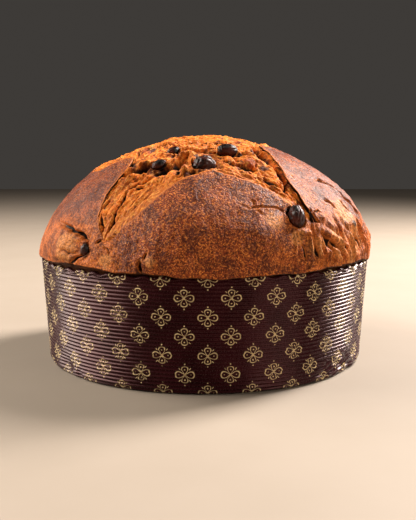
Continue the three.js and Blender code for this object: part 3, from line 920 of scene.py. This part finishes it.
COARSE = 3  # every third point of the edge is close enough to measure from
coarse_edge = torn_edge[::COARSE]
coarse_run = run_of[::COARSE]
run_distance = np.full((8, *crumb_map.shape[:2]), FAR)
nearest = np.full(crumb_map.shape[:2], FAR)
nearest_index = np.zeros(crumb_map.shape[:2], int)
inside = np.zeros(crumb_map.shape[:2], bool)
for k, (a, b) in enumerate(zip(coarse_edge, np.roll(coarse_edge, -1, axis=0))):
    d, _ = piece_distance(crumb_map, a, b)
    nearest_index = np.where(d < nearest, k, nearest_index)
    nearest = np.minimum(nearest, d)
    run_distance[coarse_run[k]] = np.minimum(run_distance[coarse_run[k]], d)
    crosses = (a[1] > crumb_map[..., 1]) != (b[1] > crumb_map[..., 1])
    if a[1] != b[1]:
        side = a[0] + (crumb_map[..., 1] - a[1]) / (b[1] - a[1]) * (b[0] - a[0])
        inside ^= crosses & (crumb_map[..., 0] < side)
signed = np.where(inside, nearest, -nearest)
print("crumb grid", crumb_map.shape[:2], "points, kept", int((signed > -UNDER_LIP).sum()))

# %% Tears, strands and lumps of the crumb
# Tears: each a line on the map with its depth and half width.
CRUMB_TEARS = [
    (
        [(-67, -106.5), (-62, -101.5), (-58, -97.5), (-55, -91), (-51.5, -86), (-48.5, -80), (-46, -76)],
        2.0, 0.9,
    ),
    ([(-46.5, -75), (-42, -74), (-36.5, -75), (-32, -74.5)], 2.2, 1.0),
    ([(-44, -79.5), (-35, -80)], 1.4, 0.8),
    ([(-62, -85), (-61.5, -81), (-58, -78.5)], 1.2, 0.8),
    ([(-66.5, -100), (-66, -92), (-64, -86)], 1.6, 0.7),
    ([(-50, -60), (-43, -60.5), (-37, -60), (-31, -59.5), (-26, -58)], 5.0, 1.9),
    ([(-30, -70.5), (-25, -68), (-20, -64.5)], 5.0, 2.6),
    ([(-19, -67), (-13, -61.5)], 3.2, 2.2),
    ([(-19, -54.5), (-16, -49)], 3.6, 1.8),
    ([(-15.5, -75), (-15, -71), (-13, -68)], 3.0, 1.4),
    ([(-8, -76.5), (-6.5, -74.5), (-3.5, -74.5)], 3.4, 2.02),
    ([(-14, -33), (-4, -33.5), (6, -33), (15, -33)], 2.4, 1.1),
    ([(-30, -28), (-22, -26), (-15, -28)], 2.2, 1.24),
    ([(12, -59.5), (15.5, -62), (18, -61.5)], 3.0, 1.5),
    ([(18.5, -53), (21, -48), (25, -45)], 3.2, 2.02),
    ([(17, -62.5), (24, -64), (30, -63.5)], 3.2, 1.4),
    ([(27, -28), (30.5, -37), (34, -44.5), (37.5, -51), (40, -57)], 6.5, 2.3),
    ([(40, -55), (42.5, -60), (45.5, -65), (47, -70)], 4.5, 1.4),
    ([(47, -68), (47.5, -73), (48, -78)], 2.2, 0.93),
    ([(33, -72), (37, -75), (43, -76)], 1.6, 1.08),
    ([(-26, -44), (-14, -47), (-2, -48)], 1.8, 1.24),
    ([(-50, -52), (-40, -53), (-31, -50)], 1.6, 1.24),
    ([(-28, -12), (-10, -16), (8, -19), (24, -15)], 1.82, 0.78),
    ([(-50, 4), (-30, 8), (-6, 4), (18, 8), (36, 4)], 2.1, 1.01),
    ([(-46, 34), (-24, 28), (6, 31), (38, 25)], 2.1, 1.01),
    ([(-56, 60), (-36, 52), (-16, 50)], 1.96, 0.85),
    ([(26, 60), (44, 52), (58, 62)], 2.1, 0.85),
    ([(-12, 14), (10, 20), (28, 16)], 1.4, 0.7),
]
# Strands that stand up: each a line on the map with its height and half width.
CRUMB_STRANDS = [
    ([(-18.5, -66), (-17, -59), (-13, -54), (-9, -52.5), (-5.5, -55), (-3.5, -61)], 3.6, 2.2),
    ([(-8.5, -54), (-6.5, -62), (-6, -71)], 3.2, 1.9),
    ([(46, -63), (49, -68.5), (53.5, -74), (57.5, -80)], 1.6, 1.5),
    ([(41, -79), (46, -80), (51, -81.5)], 1.0, 0.9),
    ([(-36, -72.5), (-30, -69.5), (-24, -66)], 1.8, 2.2),
    ([(-18, -42), (-4, -43.5), (8, -42)], 1.4, 1.6),
    ([(-22, -32), (-6, -34.5), (12, -32)], 1.6, 2.0),
    ([(8, -72), (16, -74), (25, -76.5), (35, -79)], 0.8, 1.1),
    ([(-16, -79.5), (-9, -77.5), (-2, -75.5)], 0.8, 1.0),
    ([(-56, -74), (-48, -68), (-38, -60), (-30, -56)], 1.4, 2.4),
    ([(-30, -20), (-22, -16), (-14, -20)], 0.7, 2.6),
    ([(-44, -34), (-36, -27), (-28, -24)], 1.4, 2.2),
    ([(22, -73), (31, -72), (38, -69.5)], 1.2, 1.6),
    ([(-40, 18), (-20, 17), (0, 22)], 1.8, 2.6),
    ([(8, 44), (24, 40), (40, 44)], 1.8, 2.4),
    ([(-44, 44), (-30, 40), (-12, 42)], 1.8, 2.2),
    ([(34, -12), (38, 8), (40, 24)], 1.6, 2.4),
]
# Lumps and hollows: place on the map, radius and height.
CRUMB_LUMPS = [
    ((-11.5, -71.5), 3.0, 4.4),
    ((-12.5, -62), 3.4, -3.6),
    ((26, -57), 5.5, 2.4),
    ((-30, -50), 9, 1.6),
    ((-48, -90), 6, 0.8),
    ((-59, -90), 6, 1.6),
    ((-38, -51), 6, 1.2),
    ((-38, -65), 6, -1.0),
    ((41, -72.5), 4.5, 1.6),
    ((-46, -28), 9, 1.4),
    ((-22, -20), 7, 0.4),
    ((10, -28), 9, 1.0),
    ((20, -25), 4.5, 1.2),
    ((0, 12), 13, 1.2),
    ((30, 10), 9, 1.2),
    ((-22, 44), 9, 1.6),
    ((40, 40), 9, 1.2),
]
# Where the crumb scorched, with painted shade in hollows by the tears and raisins, and where scraps of
# skin stayed on it: place on the map and radius.
SCORCHED_AND_SHADED = [
    ((-27, -65), 7.5), ((-12, -64), 3.4), ((0, -71), 6), ((-41, -60), 4), ((-23, -67), 6),
    ((-34, -59), 5), ((-17, -52), 3.2), ((35, -46), 4), ((29, -34), 3.5), ((-40, -25), 4),
    ((-31, -31), 5), ((-9, -75.5), 3.6), ((23, -65), 4), ((14, -61), 3), ((30, -42), 5), ((-3, -58), 4),
    ((22, -25), 3), ((34, -60), 3.5), ((16, 30), 6),
]
SKIN_SCRAPS = [
    ((19, -26), 4.5), ((26, -58), 5.5), ((-34, -32), 6), ((-10, 30), 6), ((34, 52), 5), ((-38, 62), 5),
]
print(len(CRUMB_TEARS), "tears,", len(CRUMB_STRANDS), "strands and", len(CRUMB_LUMPS), "lumps")


def saw(value):
    """A ramp that rises from 0 to 1 and drops back at once."""
    return value - np.floor(value)


# %% Height of the crumb
# Strands run from a slit towards the crown, midway between its two petals, so their spacing is measured
# across, as half the difference of the distances to the front petal and to the other three.
seat = dome(crumb_map)
x, y = crumb_map[..., 0], crumb_map[..., 1]
front_far = np.minimum(run_distance[0], run_distance[1])
other_far = ((run_distance[2:] + 0.1) ** -3.0).sum(axis=0) ** (-1 / 3)
across = (front_far - other_far) / 2 + 1.8 * noise(seat, 18, 60) + 0.35 * noise(seat, 6, 61)
along = x - 0.8 * y * np.tanh(x / 20)
STRANDS = [(34.0, 5.2, 2.0), (18.0, 2.4, 0.9), (8.0, 1.2, 0.45)]  # length, width and height of each size
strand_noise = [
    np.abs(noise(np.stack([along / long, across / wide, 0 * along], axis=-1), 1.0, 62 + k))
    for k, (long, wide, _) in enumerate(STRANDS)
]
billows = sum(rise * (value - 0.28) for value, (_, _, rise) in zip(strand_noise, STRANDS))
crevice = (1 - smooth(strand_noise[0] / 0.14)) * smooth(noise(seat, 13, 70) * 2 + 0.6)
small_crevice = (1 - smooth(strand_noise[1] / 0.1)) * smooth(noise(seat, 9, 71) * 2 + 0.2)
crevice = np.maximum(crevice, 0.7 * small_crevice)
flakes = saw(across / 3.4 + 1.0 * noise(seat, 12, 72) + 0.5 * strand_noise[1])

drop = edge_drop[::COARSE][nearest_index]
rising = smooth(signed / 15)
base = -drop * (1 - rising) - 2.1 * rising + np.minimum(signed, 0) * 0.35
shoulder = bell(run_distance[0] / 10) * smooth((-x - 12) / 14)
by_ball = round_bell(crumb_map, (-9, -64), 11)
tongue = np.exp(-(np.hypot((x + 56) / 15, (y + 84) / 22) ** 4))
calm = np.max([shoulder, 0.5 * bell(run_distance[1] / 3), 0.85 * by_ball, 0.8 * tongue], axis=0)
tear, tear_mask = cracks(crumb_map, seat, CRUMB_TEARS)
pit, crumb_pit = sockets(crumb_map, seat, 3.8, 0.5)
pore_field = noise(seat, 2.2, 73)
pores = smooth((pore_field - 0.4) / 0.2) * smooth(noise(seat, 12, 74) + 0.5) * (1 - 0.7 * shoulder)
strength = smooth((signed + 2) / 4)
fine = 0.8 * noise(seat, 15, 77) + 0.26 * layered(seat, 2.2, 2, 75) - 1.0 * pores
rough = billows - 0.9 * crevice + 0.6 * flakes - 0.3 + fine
crumb_height = base + tear + pit + strength * (
    rough * (1 - 0.75 * calm) + 0.35 * tongue * fine + swellings(crumb_map, CRUMB_LUMPS)
    + ridges(crumb_map, seat, CRUMB_STRANDS)
)
print(f"crumb {crumb_height[inside].min():.1f} to {crumb_height[inside].max():.1f} mm over the dome")

# %% The crumb's mesh
kept_point = signed > -UNDER_LIP
kept_cell = kept_point[:-1, :-1] & kept_point[1:, :-1] & kept_point[1:, 1:] & kept_point[:-1, 1:]
rows_n, columns_n = crumb_map.shape[:2]
number = np.arange(rows_n * columns_n).reshape(rows_n, columns_n)
cell_corners = np.stack([number[:-1, :-1], number[1:, :-1], number[1:, 1:], number[:-1, 1:]], axis=-1)
padded = np.pad(kept_cell, 1)
open_edges = []
for (di, dj), corners in {(-1, 0): (3, 0), (1, 0): (1, 2), (0, -1): (0, 1), (0, 1): (2, 3)}.items():
    open_side = kept_cell & ~padded[1 + di:rows_n + di, 1 + dj:columns_n + dj]
    open_edges.append(cell_corners[open_side][:, corners])
used = np.unique(cell_corners[kept_cell])
renumber = np.full(rows_n * columns_n, -1)
renumber[used] = np.arange(len(used))
top_points = dome(crumb_map, crumb_height).reshape(-1, 3)[used]
top_quads = renumber[cell_corners[kept_cell]]
rim_edges = renumber[np.concatenate(open_edges)]

# The underside hangs from the rim as one short skirt and closes in a single point far below.
SKIRT_DEPTH = HIDDEN_DEPTH + 3
CRUMB_FOOT = 60
skirt_used = np.unique(rim_edges)
skirt_number = np.full(len(used), -1)
skirt_number[skirt_used] = len(used) + np.arange(len(skirt_used))
skirt_points = dome(crumb_map.reshape(-1, 2)[used][skirt_used] * 0.995, -SKIRT_DEPTH)
begin, after = rim_edges.T
skirt_quads = np.column_stack([after, begin, skirt_number[begin], skirt_number[after]])
pole = np.full(len(rim_edges), len(used) + len(skirt_used))
bottom = np.column_stack([skirt_number[after], skirt_number[begin], pole])
crumb_points = np.concatenate([top_points, skirt_points, [[0, 0, CRUMB_FOOT]]])


def on_crumb(values):
    """Values of the grid for the kept points, with none on the hidden underside."""
    return np.r_[values.ravel()[used], np.zeros(len(skirt_used) + 1)]


# Painted shade: tears, raisins' sockets, crevices between strands and pores are marked here, and the
# material darkens them.
deep = np.max([tear_mask, 0.8 * crumb_pit, 0.55 * crevice * (1 - calm), 0.6 * pores], axis=0)
crumb_masks = {
    "deep": on_crumb(np.clip(deep, 0, 1)),
    # Painted shade: the lower crumb stays a darker toast and the raised crumb turns orange.
    "height": on_crumb(np.clip(rough / 4 + 0.5, 0, 1)),
    "scorched_and_shaded": on_crumb(spots(crumb_map, seat, SCORCHED_AND_SHADED)),
    "skin": on_crumb(spots(crumb_map, seat, SKIN_SCRAPS)),
    "smoothed": on_crumb(np.maximum(shoulder, 0.9 * by_ball)),
    "across": on_crumb(across),
    "along": on_crumb(along),
}
top_and_skirt = np.concatenate([top_quads, skirt_quads])
crumb_piece = make_piece("torn_crumb", crumb_points, top_and_skirt, bottom, "bread", "bread", crumb_masks)

# %% [markdown]
# ## Crust and crumb materials
# Crust is sugar and flour browned by dry heat: a thin hard skin, matt in its grain and glossy where fat
# has glazed it, spotted with blisters that browned more or less than the rest. Crumb that tore late in
# the oven is a bright orange gold, and its edges scorch first. Both also carry painted shade in their
# cracks, tears, pores and hollows, and the crust carries painted sheen on some of its pale spots.

# %% Crust material
CRUST_DARK = "#3c1208"
CRUST_BROWN = "#92401a"
CRUST_PLUM = "#863c20"
CRUST_AMBER = "#cf6e2e"
CRUST_TAN = "#da9252"
CRUST_FLECK = "#e88c3a"
CRUST_SEAM = "#c06a26"
# Near black: scorched crust and crumb, and painted shade in cracks, tears, pores, hollows and under the
# lips.
SCORCH_AND_SHADE = "#150703"

crust, tree, shader = new_material("browned crust")
value = patterns({
    "pimples": (1.15, 4.0, 0.62),
    "flecks": (0.75, 2.0, 0.5),
    "freckles": (9, 4.0, 0.55),
    "clouds": (30, 3.0, 0.55),
    "mottles": (9, 5.0, 0.65),
    "glaze": (3, 3.0, 0.55),
}, crust_masks)
in_groups = add("MapRange", (value["freckles"], 0.36, 0.6, 0.25, 1.0), **SOFTLY)
freckled = add("Math", (in_groups, value["speckled"]), operation="MULTIPLY")
off_amber = add("MapRange", (value["amber"], 0.2, 1.0, 1.0, 0.72), **SOFTLY)
skin_colour = colour(CRUST_BROWN)
for pattern, low, high, most, tint, share in (
    ("clouds", 0.36, 0.6, 1.0, CRUST_PLUM, value["upper"]),
    ("amber", 0.05, 0.95, 0.85, CRUST_AMBER, 1.0),
    ("mottles", 0.58, 0.42, 0.6, CRUST_DARK, 1.0),
    # paler browning, and painted sheen
    ("pale", 0.3, 1.0, 0.75, CRUST_TAN, 1.0),
    ("creased", 0.1, 0.9, 0.6, CRUST_SEAM, 1.0),
    ("pimples", 0.54, 0.4, 0.78, CRUST_DARK, off_amber),
    ("pimples", 0.54, 0.68, 0.8, CRUST_FLECK, value["speckled"]),
    ("flecks", 0.56, 0.66, 1.0, CRUST_FLECK, freckled),
    # burnt spots and painted shade, in full under the roll at the rim
    ("burnt_and_shaded", 0.2, 1.0, 0.85, SCORCH_AND_SHADE, 1.0),
    ("edge", 0.2, 0.9, 1.0, CRUST_SEAM, 1.0),
    # Cracks and sockets: an orange seam, then scorching and painted shade; painted shade under the lip.
    ("torn", 0.1, 0.35, 0.8, CRUST_SEAM, 1.0),
    ("torn", 0.33, 0.65, 1.0, SCORCH_AND_SHADE, 1.0),
):
    skin_colour = coated(skin_colour, value[pattern], low, high, most, tint, share)
glazed = add("MapRange", (value["glaze"], 0.35, 0.65, 0.38, 0.52), **SOFTLY)
glazed = add("Math", (value["amber"], 0.14, glazed), operation="MULTIPLY_ADD")
relief = add("Math", (value["flecks"], 0.7), operation="MULTIPLY")
relief = add("Math", (value["pimples"], 1.5, relief), operation="MULTIPLY_ADD")
dress([crust_piece], crust, skin_colour, glazed, 0.18, relief, 1.0, 0.4)

# %% Crumb material
CRUMB_LIGHT = "#f0a64c"
CRUMB_ORANGE = "#e0761a"
CRUMB_TOAST = "#a04c12"
CRUMB_TAN = "#c66c22"
FIBRE_WIDTH = 1.1
FIBRE_STRETCH = 0.16

crumb, tree, shader = new_material("toasted crumb")
value = patterns({
    "clouds": (8, 4.0, 0.55),
    "light": (1.8, 4.0, 0.6),
    "toast": (1.5, 3.0, 0.6),
    "shine": (2.4, 3.0, 0.55),
    "pores": (1.3, 4.0, 0.7),
}, crumb_masks)
lengthwise = add("Math", (value["along"], FIBRE_STRETCH), operation="MULTIPLY")
value["fibres"] = add("TexNoise", {
    "Vector": add("CombineXYZ", (value["across"], lengthwise)), "Scale": 1 / FIBRE_WIDTH, "Detail": 4.0,
    "Roughness": 0.6,
})
crumb_colour = colour(CRUMB_TOAST)
for pattern, low, high, most, tint in (
    ("clouds", 0.36, 0.62, 1.0, CRUMB_ORANGE),
    # painted shade: low crumb darker, raised crumb orange
    ("height", 0.4, 0.75, 0.8, CRUMB_ORANGE),
    ("smoothed", 0.1, 0.8, 0.7, CRUMB_TAN),
    ("light", 0.5, 0.68, 0.85, CRUMB_LIGHT),
    ("toast", 0.5, 0.36, 0.7, CRUMB_TOAST),
    ("skin", 0.3, 0.7, 0.9, CRUST_BROWN),
    # scorched crumb, and painted shade in hollows by tears and raisins
    ("scorched_and_shaded", 0.2, 0.9, 0.85, CRUST_DARK),
    # fibres: painted highlight on their ridges and painted shade between them
    ("fibres", 0.52, 0.66, 0.65, CRUMB_LIGHT),
    ("fibres", 0.46, 0.34, 0.85, CRUST_DARK),
    # painted shade in tears, sockets, crevices and pores
    ("deep", 0.25, 0.7, 1.0, SCORCH_AND_SHADE),
):
    crumb_colour = coated(crumb_colour, value[pattern], low, high, most, tint)
matt = add("MapRange", (value["shine"], 0.35, 0.65, 0.5, 0.75), **SOFTLY)
relief = add("Math", (value["pores"], value["fibres"]), operation="ADD")
dress([crumb_piece], crumb, crumb_colour, matt, 0.15, relief, 1.0, 0.6)

# %% [markdown]
# ## The raisins
# A raisin is a grape that shrank inside its skin, so the skin lies in folds from end to end. Each is a ball
# stretched to its half sizes, its radius cut by sharp-backed folds, and turned to lie in its socket. Baked
# at the surface, raisins swell, glaze and scorch nearly black.

# %% Raisin shapes
RAISIN_COLUMNS = 72
RAISIN_ROWS = 46


def raisin_points(name, at, half, turn, seed):
    """A wrinkled ball: unit directions, drawn in by folds, stretched, and turned to lie on the dome."""
    slope = np.linspace(0, math.pi, RAISIN_ROWS + 2)[1:-1, None]
    angle = around(RAISIN_COLUMNS)
    unit = np.stack([
        np.sin(slope) * np.cos(angle), np.sin(slope) * np.sin(angle), -np.cos(slope) + 0 * angle,
    ], axis=-1)
    unit = np.concatenate([unit.reshape(-1, 3), [[0, 0, -1], [0, 0, 1]]])
    drawn = unit * (1.1, 2.4, 2.4) + 0.35 * noise(unit, 0.9, seed)[:, None]
    folds = 1 - np.abs(noise(drawn, 1.0, seed + 1)) * 2.2
    radius = 1 - 0.09 * np.clip(folds, 0, 1) ** 1.5 + 0.05 * noise(unit, 0.7, seed + 2)
    shaped = unit * radius[:, None] * half
    at = np.array(at, float)
    up = dome(at, 1.0) - dome(at)
    up /= np.linalg.norm(up)
    lengthwise = np.array([math.cos(math.radians(turn)), math.sin(math.radians(turn)), 0.0])
    lengthwise -= up * (lengthwise @ up)
    lengthwise /= np.linalg.norm(lengthwise)
    sideways = np.cross(up, lengthwise)
    middle = (np.array(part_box(name)) / MM).mean(axis=0)
    return middle + shaped @ np.array([lengthwise, sideways, up])


raisin_pieces = []
for k, (name, facts) in enumerate(RAISINS.items()):
    ball = raisin_points(name, *facts, 80 + 5 * k)
    faces = ring_faces(RAISIN_ROWS, RAISIN_COLUMNS)
    raisin_pieces.append(make_piece(f"wrinkled_{name}", ball, *faces, name, "raisin", {}))

# %% Raisin material
RAISIN_BLACK = "#0b0504"
RAISIN_RED = "#4c1a0c"

raisin_skin, tree, shader = new_material("baked raisin skin")
value = patterns({"blush": (5, 3.0, 0.55), "shine": (2, 3.0, 0.55), "grain": (0.8, 3.0, 0.55)})
raisin_colour = coated(colour(RAISIN_BLACK), value["blush"], 0.4, 0.7, 1.0, RAISIN_RED)
glossy = add("MapRange", (value["shine"], 0.35, 0.65, 0.3, 0.5), **SOFTLY)
dress(raisin_pieces, raisin_skin, raisin_colour, glossy, 0.3, value["grain"], 0.3, 0.1)

# %% [markdown]
# ## Floor, light and camera
# The loaf stands on a plain pale floor. A large soft light on the left, a harder one behind on the right
# and a weak one in front on the right show the dome's form, the glaze on the crust and the flutes.

# %% Floor
FLOOR_HALF = 3.0
corners = [(x * FLOOR_HALF, y * FLOOR_HALF, 0) for x, y in ((-1, -1), (1, -1), (1, 1), (-1, 1))]
floor_mesh = bpy.data.meshes.new("floor")
floor_mesh.from_pydata(corners, [], [(0, 1, 2, 3)])
floor = new_object("floor", floor_mesh)
floor_paint, tree, shader = new_material("pale matt board")
value = patterns({"clouds": (60, 4.0, 0.55)})
pale = add("Mix", {0: value["clouds"], 6: colour("#968b7e"), 7: colour("#8e8375")}, 2, data_type="RGBA")
tree.links.new(pale, shader.inputs["Base Color"])
shader.inputs["Roughness"].default_value = 0.7
floor.data.materials.append(floor_paint)
print("floor", 2 * FLOOR_HALF, "m wide")

# %% Lights
# The plain view transform keeps the colours of the materials as deep as they were chosen.
bpy.context.scene.view_settings.view_transform = "Standard"
TARGET = np.array([0.0, 0.0, 0.07])


def area_light(name, place, size, power, tint):
    """A rectangular area light, its size a width and a height in metres, that looks at the loaf."""
    data = bpy.data.lights.new(name, "AREA")
    data.shape = "RECTANGLE"
    data.size, data.size_y = size
    data.energy = power
    data.color = colour(tint)[:3]
    lamp = new_object(name, data)
    lamp.location = place
    way = TARGET - np.array(place)
    flat = math.hypot(way[0], way[1])
    lamp.rotation_euler = (math.pi / 2 - math.atan2(-way[2], flat), 0, math.atan2(-way[0], way[1]))
    print(f"{name}: {power} W from {math.hypot(*way):.2f} m")


area_light("light_left", (-1.2, 0.15, 0.75), (1.1, 1.1), 40, "#fff4e8")
area_light("light_right", (0.86, 0.52, 0.92), (0.35, 0.9), 64, "#fff4ec")
area_light("light_front", (1.0, -0.85, 0.6), (0.8, 0.8), 7, "#fff0e0")
world = bpy.data.worlds.new("studio")
bpy.context.scene.world = world
world.use_nodes = True
world.node_tree.nodes["Background"].inputs["Color"].default_value = colour("#b8b0a8")
world.node_tree.nodes["Background"].inputs["Strength"].default_value = 0.1

# %% Camera
IMAGE_WIDTH, IMAGE_HEIGHT = 416, 520
FOCAL_PIXELS = 751
CAMERA_PLACE = (0.0021, -0.4913, 0.1243)
CAMERA_PITCH = 7.43
SENSOR = 36.0

camera_data = bpy.data.cameras.new("camera")
camera_data.sensor_width = SENSOR
camera_data.lens = FOCAL_PIXELS / max(IMAGE_WIDTH, IMAGE_HEIGHT) * SENSOR
camera = new_object("camera", camera_data)
camera.location = CAMERA_PLACE
camera.rotation_euler = (math.radians(90 - CAMERA_PITCH), 0, 0)
bpy.context.scene.camera = camera
print(f"lens {camera_data.lens:.1f} mm on a {SENSOR:.0f} mm sensor")
